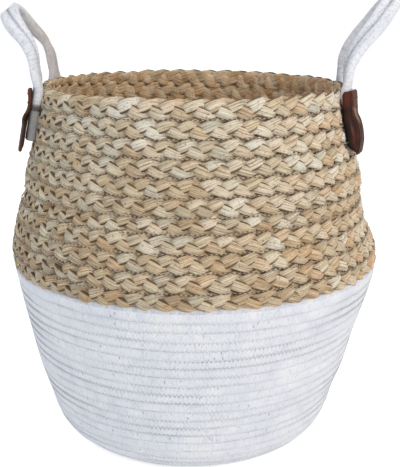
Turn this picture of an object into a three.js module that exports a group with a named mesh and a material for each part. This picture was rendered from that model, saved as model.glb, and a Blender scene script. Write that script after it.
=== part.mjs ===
// Belly basket: a white cotton rope wound from the middle of the base up the lower wall, a straw plait wound on
// from it up to the rim, and two rope handles under leather tabs.
// Millimetres, +Z up. The origin is the middle of the base, on the floor. The front is -Y.

import * as THREE from 'three';

// Driving sizes of the basket's body
const rimHeight = 334;
const bellyRadius = 175.5;
const ropeThickness = 8.5;
const plaitThickness = 9;
const ropeNominalPitch = 8.9;
const plaitNominalPitch = 14.7;
const seamGap = 0.6;
const faceGap = 0.3;
const cornerRun = 9;

// The middle of the wall, from the base's edge to the rim: shares of the belly's middle radius and of the height
const wallOutlineShares = [
  [0.695, 0.0125], [0.7485, 0.0446], [0.799, 0.0955], [0.86, 0.1945], [0.913, 0.316], [0.971, 0.438],
  [1, 0.533], [0.96, 0.6224], [0.93, 0.672], [0.904, 0.697], [0.889, 0.759], [0.8526, 0.8565], [0.796, 1],
];
const ropeWallShare = 0.515;
const flatCutShare = 0.1;

// Driving sizes of the handles and tabs
const strandThickness = 8.4;
const strandGap = 0.5;
const legHalfSpan = 43;
const handleWallClearance = 0.5;
const handleRimClearance = 1.3;
const leatherThickness = 2.5;
const tabWidth = 27;
const tabHeight = 56;
const tabDrop = 6.5;
const tabSagitta = 3;
const strandEndSetIn = 8;

// Each handle: how far it rises along its leaning surface, the straight foot and the bend that it leans out by, how
// far its arch is drawn to the back, and how far it is turned about the basket's axis. Its strap lies flat on the
// wall at the tabs and turns a quarter on its way up each leg, from the twist's start to the top of the arch
const leftRise = 68;
const leftFoot = 12;
const leftBend = 27;
const leftDraw = 12;
const leftTwistStart = 36;
const rightRise = 80;
const rightFoot = 4;
const rightBend = 45;
const rightDraw = 7;
const rightTwistStart = 25;
const degrees = THREE.MathUtils.degToRad;
const handles = [
  {
    side: 'left', sign: -1, rise: leftRise, foot: leftFoot, bend: leftBend, draw: leftDraw,
    twistStart: leftTwistStart, lean: degrees(47), turn: 0, archPower: 2.1,
  },
  {
    side: 'right', sign: 1, rise: rightRise, foot: rightFoot, bend: rightBend, draw: rightDraw,
    twistStart: rightTwistStart, lean: degrees(44.5), turn: degrees(-5.4), archPower: 1.8,
  },
];

// Counts
const stepsPerTurn = 18;
const innerStepsPerTurn = 9;
const innerBaseTurns = 4;
const plaitTailSteps = 5;
const strandSides = 8;
const strapSteps = 26;

// Both coils start and end at the back, and climb anticlockwise seen from above
const seamAngle = Math.PI / 2;
const fullTurn = Math.PI * 2;

// Cross-sections in the coil's own directions: along the winding wall, and out of it
const rowSectionShares = [[1, 0.5], [0, 1], [-1, 0.5], [-1, -0.5], [0, -1], [1, -0.5]];
const flatSectionShares = [[0.5, 1], [-0.5, 1], [-1, 0], [-0.5, -1], [0.5, -1], [1, 0]];

const cotton = { color: 0xdadbe2, roughness: 0.9, metalness: 0 };
const straw = { color: 0xb29c7c, roughness: 0.75, metalness: 0 };
const leather = { color: 0x4b3329, roughness: 0.5, metalness: 0 };

const group = new THREE.Group();
group.name = 'belly_basket';

function addMesh(name, geometry, look) {
  geometry.computeVertexNormals();
  const mesh = new THREE.Mesh(geometry, new THREE.MeshStandardMaterial(look));
  mesh.name = name;
  group.add(mesh);
}

// Rings of points, all with the same count, joined into one closed tube
function tubeFromRings(rings) {
  const sides = rings[0].length;
  const positions = rings.flat().flatMap((point) => [point.x, point.y, point.z]);
  const indices = [];
  for (let ring = 0; ring < rings.length - 1; ring += 1) {
    for (let side = 0; side < sides; side += 1) {
      const a = ring * sides + side;
      const b = ring * sides + ((side + 1) % sides);
      indices.push(a, b, b + sides, a, b + sides, a + sides);
    }
  }
  const last = (rings.length - 1) * sides;
  for (let side = 1; side < sides - 1; side += 1) {
    indices.push(0, side + 1, side);
    indices.push(last, last + side, last + side + 1);
  }
  const geometry = new THREE.BufferGeometry();
  geometry.setAttribute('position', new THREE.Float32BufferAttribute(positions, 3));
  geometry.setIndex(indices);
  return geometry;
}

// The least distance between points of the tube that lie more than half a turn apart along it
function leastGapToItself(rings, ringAngles) {
  let least = Infinity;
  const samples = rings.map((ring) => ring.flatMap((point, side) => {
    const next = ring[(side + 1) % ring.length];
    return [point, point.clone().lerp(next, 0.5)];
  }));
  for (let first = 0; first < samples.length; first += 1) {
    for (let second = first + 1; second < samples.length; second += 1) {
      const apart = ringAngles[second] - ringAngles[first];
      if (apart < fullTurn * 0.5 || apart > fullTurn * 1.5) continue;
      for (const a of samples[first]) {
        for (const b of samples[second]) least = Math.min(least, a.distanceToSquared(b));
      }
    }
  }
  return Math.sqrt(least);
}

// The base's spiral lies this high, so that a tenth of the rope is cut flat on the floor
const baseMiddleHeight = ropeThickness / 2 - ropeThickness * flatCutShare;
const bellyMiddleRadius = bellyRadius - ropeThickness / 2;
const baseCoilRadius = wallOutlineShares[0][0] * bellyMiddleRadius - cornerRun;
const wallCurve = new THREE.SplineCurve([
  new THREE.Vector2(baseCoilRadius, baseMiddleHeight),
  ...wallOutlineShares.map(([radiusShare, heightShare]) => new THREE.Vector2(
    radiusShare * bellyMiddleRadius,
    baseMiddleHeight + heightShare * (rimHeight - baseMiddleHeight),
  )),
]);
wallCurve.arcLengthDivisions = 2000;
const wallLength = wallCurve.getLength();

// Where the wall's middle line is after a length measured from the base's edge, and which way it runs there
function wallPlace(length) {
  const share = THREE.MathUtils.clamp(length / wallLength, 0, 1);
  const middle = wallCurve.getPointAt(share);
  const along = wallCurve.getTangentAt(share);
  return { radius: middle.x, height: middle.y, along };
}

// Where the wall bends, its rows close up on the inside of the bend: how much each side of a row gives way there
function squeezeAt(length, pitch, halfOut) {
  const here = wallPlace(length).along;
  const bends = [length - pitch, length + pitch].map((neighbour) => (
    Math.acos(THREE.MathUtils.clamp(here.dot(wallPlace(neighbour).along), -1, 1))
  ));
  return Math.max(...bends) * halfOut / 4;
}

// A place on the flat base, given as its distance from the middle
function basePlace(radius) {
  return { radius, height: baseMiddleHeight, along: new THREE.Vector2(1, 0) };
}

// One ring of a coil, in the upright plane through the axis at this angle
function coilRing(place, angle, halfAlong, halfOut, sectionShares) {
  return sectionShares.map(([alongShare, outShare]) => {
    const u = alongShare * halfAlong;
    const v = outShare * halfOut;
    const radius = place.radius + u * place.along.x + v * place.along.y;
    const height = Math.max(0, place.height + u * place.along.y - v * place.along.x);
    return new THREE.Vector3(radius * Math.cos(angle), radius * Math.sin(angle), height);
  });
}

const baseTurns = Math.floor(baseCoilRadius / ropeNominalPitch);
const basePitch = baseCoilRadius / baseTurns;
const ropeWallLength = wallLength * ropeWallShare;
const ropeTurns = Math.floor(ropeWallLength / ropeNominalPitch);
const ropePitch = ropeWallLength / ropeTurns;
const plaitRows = Math.floor((wallLength - ropeWallLength - ropePitch / 2) / plaitNominalPitch);
const plaitPitch = (wallLength - ropeWallLength - ropePitch / 2) / plaitRows;
const plaitTurns = plaitRows + plaitTailSteps / stepsPerTurn;

// The base: the rope starts with a straight lead over the very middle, turns round on itself, then spirals out
function buildBaseCoil() {
  const rings = [];
  const angles = [];
  const half = ropeThickness / 2;
  const innerBend = basePitch / 2;
  const facing = new THREE.Vector2(Math.cos(seamAngle), Math.sin(seamAngle));
  const aside = new THREE.Vector2(-facing.y, facing.x);

  const leadRing = (middle, outward) => flatSectionShares.map(([alongShare, outShare]) => new THREE.Vector3(
    middle.x + outward.x * alongShare * half,
    middle.y + outward.y * alongShare * half,
    Math.max(0, baseMiddleHeight - outShare * half),
  ));

  const leadLength = basePitch / 2;
  rings.push(leadRing(aside.clone().multiplyScalar(leadLength), facing.clone().negate()));
  angles.push(0);
  const bendSteps = innerStepsPerTurn / 2;
  for (let step = 0; step < bendSteps; step += 1) {
    const turned = Math.PI * (step / bendSteps);
    const outward = facing.clone().multiplyScalar(-Math.cos(turned)).addScaledVector(aside, -Math.sin(turned));
    const middle = facing.clone().multiplyScalar(innerBend).addScaledVector(outward, innerBend);
    rings.push(leadRing(middle, outward));
    angles.push(turned);
  }

  const trim = faceGap / 2 / baseCoilRadius;
  const innerSteps = (innerBaseTurns - 1) * innerStepsPerTurn;
  const outerSteps = (baseTurns - innerBaseTurns) * stepsPerTurn;
  for (let step = 0; step <= innerSteps + outerSteps; step += 1) {
    const turn = step <= innerSteps
      ? 1 + step / innerStepsPerTurn
      : innerBaseTurns + (step - innerSteps) / stepsPerTurn;
    const angle = fullTurn * turn - (step === innerSteps + outerSteps ? trim : 0);
    rings.push(coilRing(basePlace(basePitch * turn), seamAngle + angle, half, half, flatSectionShares));
    angles.push(angle - Math.PI);
  }
  return { rings, angles };
}

// The rope wall: the same rope climbs the wall by one pitch in each turn
function buildRopeWall() {
  const rings = [];
  const angles = [];
  const steps = ropeTurns * stepsPerTurn;
  const halfOut = ropeThickness / 2;
  for (let step = 0; step <= steps; step += 1) {
    const turn = step / stepsPerTurn;
    const place = wallPlace(ropePitch * turn);
    const half = (ropePitch - seamGap) / 2 - squeezeAt(ropePitch * turn, ropePitch, halfOut);
    const trim = step === 0 || step === steps ? faceGap / 2 / place.radius : 0;
    const angle = fullTurn * turn + (step === 0 ? trim : -trim);
    rings.push(coilRing(place, seamAngle + angle, half, halfOut, rowSectionShares));
    angles.push(angle);
  }
  return { rings, angles };
}

// The plait starts as narrow as a row of rope, widens within a quarter of a turn, and narrows again at its end,
// so that its rows lie snug on each other and the rim is nearly level
const plaitStartShare = 0.25;
const plaitEndWidthShare = 0.3;

function plaitWidthAt(turn) {
  const start = Math.min(1, turn / plaitStartShare);
  const end = THREE.MathUtils.clamp((turn - plaitRows) / (plaitTurns - plaitRows), 0, 1);
  return (ropePitch + (plaitPitch - ropePitch) * start) * (1 - (1 - plaitEndWidthShare) * end);
}

// The lower edge of a row: the first lies on the rope, and each other one on the row below it
function plaitEdgeAt(turn) {
  if (turn < 1) return ropeWallLength - ropePitch / 2 + ropePitch * turn;
  return plaitEdgeAt(turn - 1) + plaitWidthAt(turn - 1);
}

function buildPlait() {
  const rings = [];
  const angles = [];
  const steps = plaitRows * stepsPerTurn + plaitTailSteps;
  const halfOut = plaitThickness / 2;
  for (let step = 0; step <= steps; step += 1) {
    const turn = step / stepsPerTurn;
    const width = plaitWidthAt(turn);
    const middle = plaitEdgeAt(turn) + width / 2;
    const place = wallPlace(middle);
    const trim = step === 0 ? faceGap / 2 / place.radius : 0;
    const angle = fullTurn * turn + trim;
    const halfAlong = (width - seamGap) / 2 - squeezeAt(middle, width, halfOut);
    rings.push(coilRing(place, seamAngle + angle, halfAlong, halfOut, rowSectionShares));
    angles.push(angle);
  }
  return { rings, angles };
}

for (const [name, coil, look] of [
  ['base_rope_coil', buildBaseCoil(), cotton],
  ['wall_rope_coil', buildRopeWall(), cotton],
  ['straw_plait_coil', buildPlait(), straw],
]) {
  console.log(`${name}: least gap to itself ${leastGapToItself(coil.rings, coil.angles).toFixed(2)} mm`);
  addMesh(name, tubeFromRings(coil.rings), look);
}

// The handles stand just outside the rim, and their strands turn just above it
const strandRadius = strandThickness / 2;
const legRadius = wallPlace(wallLength).radius + plaitThickness / 2 + handleWallClearance + strandRadius;
const hingeRadius = Math.sqrt(legRadius ** 2 - legHalfSpan ** 2);
const hingeHeight = rimHeight + handleRimClearance + strandRadius;
const tabTop = rimHeight - tabDrop;
console.log(`flex line: ${hingeRadius.toFixed(2)} mm out, ${hingeHeight.toFixed(2)} mm up`);

const legAngle = Math.atan2(legHalfSpan, hingeRadius);
const stepAngle = fullTurn / stepsPerTurn;

// The outer face of the many-sided wall at a height, as its distance from the axis in this direction, where the
// two strands of a leg lie on it: at a corner if one is between them, and otherwise on a flat stretch beside it
function wallFaceAt(height, direction) {
  let low = ropeWallLength;
  let high = wallLength;
  while (high - low > wallLength * 1e-5) {
    const middle = (low + high) / 2;
    if (wallPlace(middle).height < height) low = middle;
    else high = middle;
  }
  const steps = (direction - seamAngle) / stepAngle;
  const toCorner = Math.abs(steps - Math.round(steps)) * stepAngle;
  const corner = wallPlace(low).radius + plaitThickness / 2;
  const aside = Math.max(0, corner * Math.sin(toCorner) - strandOffset);
  return corner * Math.cos(toCorner) - aside * Math.tan(stepAngle / 2 - toCorner);
}

// A frame for one leg: across the wall, up along its slope, and out of it, with its origin on the wall at the
// tab's top
function legFrame(handle, back) {
  const direction = (handle.sign > 0 ? back * legAngle : Math.PI - back * legAngle) + handle.turn;
  const topFace = wallFaceAt(tabTop, direction);
  const slope = Math.atan2(wallFaceAt(tabTop - tabHeight, direction) - topFace, tabHeight);
  const out = new THREE.Vector3(Math.cos(direction), Math.sin(direction), 0);
  const across = new THREE.Vector3(-out.y, out.x, 0).multiplyScalar(handle.sign * back);
  const origin = out.clone().multiplyScalar(topFace);
  origin.z = tabTop;
  const up = new THREE.Vector3(0, 0, Math.cos(slope)).addScaledVector(out, -Math.sin(slope));
  const lift = new THREE.Vector3(0, 0, Math.sin(slope)).addScaledVector(out, Math.cos(slope));
  return { origin, across, up, lift };
}

function framePoint(frame, across, up, lift) {
  return frame.origin.clone()
    .addScaledVector(frame.across, across)
    .addScaledVector(frame.up, up)
    .addScaledVector(frame.lift, lift);
}

// A round ring about a point, in the plane of two directions
function roundRing(middle, first, second, radius) {
  return Array.from({ length: strandSides }, (_, side) => {
    const angle = fullTurn * (side + 0.5) / strandSides;
    return middle.clone()
      .addScaledVector(first, radius * Math.cos(angle))
      .addScaledVector(second, radius * Math.sin(angle));
  });
}

const strandOffset = (strandThickness + strandGap) / 2;
const ropeLift = faceGap + strandRadius;

const upAxis = new THREE.Vector3(0, 0, 1);

// The fixed end of a strand: straight under its tab, then bent to stand upright below the handle's flex line
function buildStrandEnd(handle, back, offset) {
  const frame = legFrame(handle, back);
  const bottom = framePoint(frame, offset, strandEndSetIn - tabHeight, ropeLift);
  const tabEdge = framePoint(frame, offset, 0, ropeLift);
  const top = new THREE.Vector3(
    handle.sign * hingeRadius,
    back * (legHalfSpan + offset),
    hingeHeight - strandRadius - faceGap,
  ).applyAxisAngle(upAxis, handle.turn);
  const alongTab = tabEdge.clone().sub(bottom).normalize();
  const bendPoint = top.clone().lerp(tabEdge, 0.5);
  const path = [
    [bottom, alongTab],
    [tabEdge.clone().lerp(bottom, 0.5), alongTab],
    [tabEdge, alongTab],
    [bendPoint, top.clone().sub(tabEdge).normalize()],
    [top, upAxis],
  ];
  return tubeFromRings(path.map(([middle, along]) => {
    const second = new THREE.Vector3().crossVectors(along, frame.across).normalize();
    const first = new THREE.Vector3().crossVectors(second, along).normalize();
    return roundRing(middle, first, second, strandRadius);
  }));
}

// A leather tab: a curved band over both strand ends
function buildTab(handle, back) {
  const frame = legFrame(handle, back);
  const innerRadius = (tabWidth ** 2 / 4 + tabSagitta ** 2) / (2 * tabSagitta);
  const half = Math.asin(tabWidth / 2 / innerRadius);
  const crown = ropeLift + strandRadius + faceGap + strandThickness * 0.05;
  const outline = new THREE.Shape();
  const centreLift = crown - innerRadius;
  const from = Math.PI / 2 - half;
  const to = Math.PI / 2 + half;
  outline.absarc(0, centreLift, innerRadius + leatherThickness, from, to, false);
  outline.absarc(0, centreLift, innerRadius, to, from, true);
  outline.closePath();
  const geometry = new THREE.ExtrudeGeometry(outline, {
    depth: tabHeight, bevelEnabled: false, curveSegments: 6, steps: 1,
  });
  const start = framePoint(frame, 0, -tabHeight, 0);
  const mirrored = new THREE.Vector3().crossVectors(frame.across, frame.lift).dot(frame.up) < 0;
  const acrossDirection = mirrored ? frame.across.clone().negate() : frame.across;
  geometry.applyMatrix4(new THREE.Matrix4().makeBasis(acrossDirection, frame.lift, frame.up).setPosition(start));
  return geometry;
}

// How far out and up the leaning surface of a handle is after a length measured from its flex line
function leanPlace(handle, length) {
  const bent = THREE.MathUtils.clamp(length - handle.foot, 0, handle.bend);
  const bendRadius = handle.bend / handle.lean;
  const angle = bent / bendRadius;
  const straight = Math.max(0, length - handle.foot - handle.bend);
  const foot = Math.min(length, handle.foot);
  return {
    out: bendRadius * (1 - Math.cos(angle)) + straight * Math.sin(angle),
    up: foot + bendRadius * Math.sin(angle) + straight * Math.cos(angle),
    angle,
  };
}

// The middle of the strap, up the front leg, over the arch and down the back leg, with the way that its surface
// faces and the way that its two strands lie beside each other
function strapPlace(handle, share) {
  const around = (share - 0.5) * Math.PI;
  const archShare = 2 / handle.archPower;
  const across = legHalfSpan * Math.sign(around) * Math.abs(Math.sin(around)) ** archShare;
  const length = handle.rise * Math.abs(Math.cos(around)) ** archShare;
  const place = leanPlace(handle, length);
  const twist = THREE.MathUtils.smoothstep(length, handle.twistStart, handle.rise) * Math.PI / 2;
  const outward = new THREE.Vector3(handle.sign * Math.cos(place.angle), 0, -Math.sin(place.angle));
  const beside = new THREE.Vector3(0, Math.sign(around) * Math.cos(twist), 0);
  beside.addScaledVector(outward, Math.sin(twist));
  const middle = new THREE.Vector3(
    handle.sign * (hingeRadius + place.out),
    across + handle.draw * (length / handle.rise) ** 2,
    hingeHeight + place.up,
  );
  return { middle, outward, beside };
}

// One strand of a handle, with round ends that turn on the flex line
function buildHandleStrand(handle, offset) {
  const domeShares = [0.35, 0.72, 0.94];
  const places = Array.from({ length: strapSteps + 1 }, (_, step) => strapPlace(handle, step / strapSteps));
  const rings = places.map(({ middle, outward, beside }, step) => {
    const isEnd = step === 0 || step === strapSteps;
    const along = isEnd
      ? upAxis.clone().multiplyScalar(step === 0 ? 1 : -1)
      : places[step + 1].middle.clone().sub(places[step - 1].middle).normalize();
    const across = beside.clone().addScaledVector(along, -beside.dot(along)).normalize();
    const first = outward.clone().addScaledVector(along, -outward.dot(along)).normalize();
    const second = new THREE.Vector3().crossVectors(along, first).normalize();
    return roundRing(middle.clone().addScaledVector(across, offset), first, second, strandRadius);
  });
  const domeRings = (ring, order) => order.map((share) => {
    const middle = ring.reduce((sum, point) => sum.add(point), new THREE.Vector3()).divideScalar(ring.length);
    const drop = strandRadius * Math.sqrt(1 - share ** 2);
    return ring.map((point) => middle.clone().lerp(point, share).setZ(hingeHeight - drop));
  });
  return [
    ...domeRings(rings[0], domeShares),
    ...rings,
    ...domeRings(rings[rings.length - 1], domeShares.toReversed()),
  ].map((ring) => ring.map((point) => point.applyAxisAngle(upAxis, handle.turn)));
}

// A tube whose rings run the other way round is turned inside out, so that every solid faces out
function facingOut(geometry) {
  const position = geometry.getAttribute('position');
  const index = geometry.getIndex();
  const count = index ? index.count : position.count;
  const corner = (place) => new THREE.Vector3().fromBufferAttribute(position, index ? index.getX(place) : place);
  let volume = 0;
  for (let place = 0; place < count; place += 3) {
    volume += corner(place).dot(corner(place + 1).cross(corner(place + 2)));
  }
  if (volume < 0 && index) geometry.setIndex(Array.from(index.array).reverse());
  return geometry;
}

for (const handle of handles) {
  for (const [end, back] of [['front', -1], ['back', 1]]) {
    for (const [strand, offset] of [['outer', strandOffset], ['inner', -strandOffset]]) {
      const name = `${handle.side}_${end}_${strand}_strand_end`;
      addMesh(name, facingOut(buildStrandEnd(handle, back, offset)), cotton);
    }
    addMesh(`${handle.side}_${end}_leather_tab`, facingOut(buildTab(handle, back)), leather);
  }
  for (const [strand, offset] of [['outer', strandOffset], ['inner', -strandOffset]]) {
    const geometry = facingOut(tubeFromRings(buildHandleStrand(handle, offset)));
    addMesh(`${handle.side}_handle_${strand}_strand`, geometry, cotton);
  }
}

export default group;
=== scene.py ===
"""Belly basket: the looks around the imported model.

Metres, +Z up, the front is -Y. Sizes are named in millimetres and turned into metres where a mesh is made.
"""
import math

import bpy
import numpy as np
from mathutils import Matrix, Vector


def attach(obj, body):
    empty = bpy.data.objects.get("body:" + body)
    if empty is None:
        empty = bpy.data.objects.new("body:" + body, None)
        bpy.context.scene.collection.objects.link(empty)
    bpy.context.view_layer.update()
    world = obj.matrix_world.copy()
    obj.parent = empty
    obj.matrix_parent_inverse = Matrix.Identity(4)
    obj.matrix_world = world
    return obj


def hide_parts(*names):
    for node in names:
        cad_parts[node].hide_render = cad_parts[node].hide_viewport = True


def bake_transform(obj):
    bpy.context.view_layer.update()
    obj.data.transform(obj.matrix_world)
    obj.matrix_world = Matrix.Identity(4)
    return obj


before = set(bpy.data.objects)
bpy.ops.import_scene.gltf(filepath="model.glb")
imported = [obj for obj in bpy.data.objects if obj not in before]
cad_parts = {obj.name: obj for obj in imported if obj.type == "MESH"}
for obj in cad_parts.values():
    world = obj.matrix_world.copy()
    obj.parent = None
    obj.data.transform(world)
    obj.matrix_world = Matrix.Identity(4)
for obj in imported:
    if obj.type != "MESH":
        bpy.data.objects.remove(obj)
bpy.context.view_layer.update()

MM = 0.001
TURN = 2 * math.pi
UP = np.array([0, 0, 1.0])


def link(name, data):
    """A new object in the scene."""
    made = bpy.data.objects.new(name, data)
    bpy.context.scene.collection.objects.link(made)
    return made


# Camera

CAMERA_PLACE_MM = (7.6, -765.0, 395.0)
CAMERA_DOWN_DEG = 15.3
CAMERA_YAW_DEG = 0.07
CAMERA_ROLL_DEG = 0.5
LENS_MM = 72.36


def rotation(degrees, axis):
    return Matrix.Rotation(math.radians(degrees), 4, axis)


def make_camera():
    data = bpy.data.cameras.new("camera")
    data.sensor_fit = "HORIZONTAL"
    data.sensor_width = 36
    data.lens = LENS_MM
    data.clip_start = 0.01
    data.clip_end = 100
    camera = link("camera", data)
    aim = rotation(CAMERA_YAW_DEG, "Z") @ rotation(90 - CAMERA_DOWN_DEG, "X")
    place = Matrix.Translation(Vector(CAMERA_PLACE_MM) * MM)
    camera.matrix_world = place @ aim @ rotation(CAMERA_ROLL_DEG, "Z")
    bpy.context.scene.camera = camera


make_camera()

# Sizes, as in the part's source

RIM_HEIGHT = 334.0
BELLY_RADIUS = 175.5
ROPE_THICKNESS = 8.5
PLAIT_THICKNESS = 9.0
ROPE_NOMINAL_PITCH = 8.9
PLAIT_NOMINAL_PITCH = 14.7
CORNER_RUN = 9.0
WALL_OUTLINE = [
    [0.695, 0.0125], [0.7485, 0.0446], [0.799, 0.0955], [0.86, 0.1945], [0.913, 0.316], [0.971, 0.438],
    [1, 0.533], [0.96, 0.6224], [0.93, 0.672], [0.904, 0.697], [0.889, 0.759], [0.8526, 0.8565], [0.796, 1],
]
ROPE_WALL_SHARE = 0.515
FLAT_CUT_SHARE = 0.1
STRAND_THICKNESS = 8.4
STRAND_GAP = 0.5
LEG_HALF_SPAN = 43.0
LEATHER_THICKNESS = 2.5
TAB_WIDTH = 27.0
TAB_HEIGHT = 56.0
TAB_DROP = 6.5
HANDLE_WALL_CLEARANCE = 0.5
HANDLE_RIM_CLEARANCE = 1.3
STRAND_END_SET_IN = 11.0
FACE_GAP = 0.3
STEPS_PER_TURN = 18
SEAM_ANGLE = math.pi / 2

BASE_MIDDLE = ROPE_THICKNESS / 2 - ROPE_THICKNESS * FLAT_CUT_SHARE
BELLY_MIDDLE = BELLY_RADIUS - ROPE_THICKNESS / 2
BASE_COIL_RADIUS = WALL_OUTLINE[0][0] * BELLY_MIDDLE - CORNER_RUN


def walked_length(points):
    """The length walked along points, up to each of them."""
    return np.concatenate([[0], np.cumsum(np.linalg.norm(np.diff(points, axis=0), axis=1))])


def cubic_curve(points, slopes, per_span):
    """Points along the smooth curve through the given ones."""
    t = (np.arange(per_span) / per_span)[:, None]
    spans = []
    for a, b, slope_a, slope_b in zip(points, points[1:], slopes, slopes[1:]):
        spans.append((2 * t**3 - 3 * t**2 + 1) * a + (t**3 - 2 * t**2 + t) * slope_a
                     + (3 * t**2 - 2 * t**3) * b + (t**3 - t**2) * slope_b)
    return np.concatenate(spans + [points[-1:]])


def wall_curve():
    """Radius and height along the wall's middle line, from the last coil of the base to the rim."""
    points = [(BASE_COIL_RADIUS, BASE_MIDDLE)]
    points += [(r * BELLY_MIDDLE, BASE_MIDDLE + h * (RIM_HEIGHT - BASE_MIDDLE)) for r, h in WALL_OUTLINE]
    points = np.array(points)
    slopes = np.gradient(points, axis=0)
    slopes[[0, -1]] /= 2
    return cubic_curve(points, slopes, per_span=400)


WALL_POINTS = wall_curve()
WALL_LENGTHS = walked_length(WALL_POINTS)
WALL_LENGTH = WALL_LENGTHS[-1]
WALL_SLOPES = np.gradient(WALL_POINTS, WALL_LENGTHS, axis=0)
WALL_SLOPES /= np.linalg.norm(WALL_SLOPES, axis=1)[:, None]


def wall_place(length):
    """Radius and height of the wall's middle line after a length, and its direction there."""
    length = np.asarray(length, float)
    inside = np.clip(length, 0, WALL_LENGTH)
    parts = (*WALL_POINTS.T, *WALL_SLOPES.T)
    radius, height, along_r, along_z = (np.interp(inside, WALL_LENGTHS, part) for part in parts)
    past = length - inside
    return radius + past * along_r, height + past * along_z, along_r, along_z


def wall_frame(turns, radius, height, along_r, along_z):
    """Points after turns from the seam, and the directions along the wall and out of it."""
    angle = SEAM_ANGLE + TURN * turns
    flat = np.stack([np.cos(angle), np.sin(angle), 0 * angle], -1)
    radius, height, along_r, along_z = (part[:, None] for part in (radius, height, along_r, along_z))
    return flat * radius + UP * height, flat * along_r + UP * along_z, flat * along_z - UP * along_r


BASE_TURNS = math.floor(BASE_COIL_RADIUS / ROPE_NOMINAL_PITCH)
BASE_PITCH = BASE_COIL_RADIUS / BASE_TURNS
ROPE_WALL_LENGTH = WALL_LENGTH * ROPE_WALL_SHARE
ROPE_TURNS = math.floor(ROPE_WALL_LENGTH / ROPE_NOMINAL_PITCH)
ROPE_PITCH = ROPE_WALL_LENGTH / ROPE_TURNS
PLAIT_SPAN = WALL_LENGTH - ROPE_WALL_LENGTH - ROPE_PITCH / 2
PLAIT_ROWS = math.floor(PLAIT_SPAN / PLAIT_NOMINAL_PITCH)
PLAIT_PITCH = PLAIT_SPAN / PLAIT_ROWS
PLAIT_TURNS = PLAIT_ROWS + 5 / STEPS_PER_TURN

# Numbers and directions


def unit(vectors):
    return vectors / np.maximum(np.linalg.norm(vectors, axis=-1, keepdims=True), 1e-9)


def reached(value, start, run):
    """The share of a run that a value has reached, from 0 to 1. A negative run goes downward."""
    return np.clip((value - start) / run, 0, 1)


def drift(rng, places, step, size):
    """Smooth random values, with a new one every step."""
    knots = np.arange(places.min() - step, places.max() + 2 * step, step)
    heights = rng.normal(0, size, len(knots))
    at = (places - knots[0]) / step
    low = np.clip(at.astype(int), 0, len(knots) - 2)
    share = at - low
    share = share * share * (3 - 2 * share)
    return heights[low] * (1 - share) + heights[low + 1] * share


def smoothed(values, window):
    """Values eased over by a window of weights."""
    padded = np.pad(values, len(window) // 2, mode="edge")
    return np.convolve(padded, window / window.sum(), mode="valid")


def zigzag(count, reach):
    """Steps to one side and to the other in turn."""
    return np.where(np.arange(count) % 2 == 0, reach, -reach)


def picked(points, at, marks=None):
    """Points of a line at places along it. marks holds the places of its own points, if not even."""
    marks = np.linspace(0, 1, len(points)) if marks is None else marks
    return np.stack([np.interp(at, marks, column) for column in points.T], -1)


# The soft wall's sags: height and spread, direction and spread in degrees, push outward
SAGS = [
    (246, 13, 180, 50, 2.4), (162, 22, 180, 50, -2.0), (82, 25, 180, 60, 0.8),
    (248, 9, 0, 50, 1.8), (212, 13, 0, 45, -4.5), (155, 25, 0, 50, 2.2), (47, 14, 0, 50, -2.0),
    (8, 14, 0, 1000, 2.4), (8, 16, 215, 45, 2.2),
]
SAG_INNER_RADIUS = 40.0


def sagged(points):
    """Points of the wall or the base pushed outward by the sags."""
    x, y, z = np.moveaxis(points, -1, 0)
    radius = np.hypot(x, y)
    angle = np.degrees(np.arctan2(y, x))
    push = 0
    for height, rise, direction, spread, size in SAGS:
        off = (angle - direction + 180) % 360 - 180
        push = push + size * np.exp(-((z - height) / rise) ** 2 / 2 - (off / spread) ** 2 / 2)
    push = push * reached(radius, SAG_INNER_RADIUS, BASE_COIL_RADIUS - SAG_INNER_RADIUS)
    scale = 1 + push / np.maximum(radius, 1)
    return np.stack([x * scale, y * scale, z], -1)


# Mesh building


def build_mesh(name, points_mm, faces, uvs=None, values=None):
    """A smooth mesh. uvs holds a pair for each corner of a face, values one number per point."""
    mesh = bpy.data.meshes.new(name)
    points = np.asarray(points_mm, np.float32) * MM
    mesh.vertices.add(len(points))
    mesh.vertices.foreach_set("co", points.ravel())
    sizes = np.concatenate([np.full(len(block), block.shape[1]) for block in faces]).astype(np.int32)
    corners = np.concatenate([block.ravel() for block in faces]).astype(np.int32)
    mesh.loops.add(len(corners))
    mesh.loops.foreach_set("vertex_index", corners)
    mesh.polygons.add(len(sizes))
    mesh.polygons.foreach_set("loop_start", (np.cumsum(sizes) - sizes).astype(np.int32))
    mesh.polygons.foreach_set("loop_total", sizes)
    if uvs is not None:
        mesh.uv_layers.new(name="UVMap").data.foreach_set("uv", uvs.astype(np.float32).ravel())
    for key, data in (values or {}).items():
        mesh.attributes.new(key, "FLOAT", "POINT").data.foreach_set("value", data.astype(np.float32))
    mesh.update(calc_edges=True)
    mesh.validate()
    mesh.shade_smooth()
    return mesh


def rounded(count, power, half_wide=1, half_thick=1):
    """Points round a section between an ellipse and a rectangle."""
    turn = TURN * (np.arange(count) + 0.5) / count
    c, s = np.cos(turn), np.sin(turn)
    wide = np.sign(c) * np.abs(c) ** (2 / power) * half_wide
    thick = np.sign(s) * np.abs(s) ** (2 / power) * half_thick
    return wide, thick


def ring_points(middle, across, out, wide, thick):
    """Rings round middle points. wide and thick hold how far each point is across and outward."""
    return middle[:, None] + across[:, None] * wide[..., None] + out[:, None] * thick[..., None]


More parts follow.
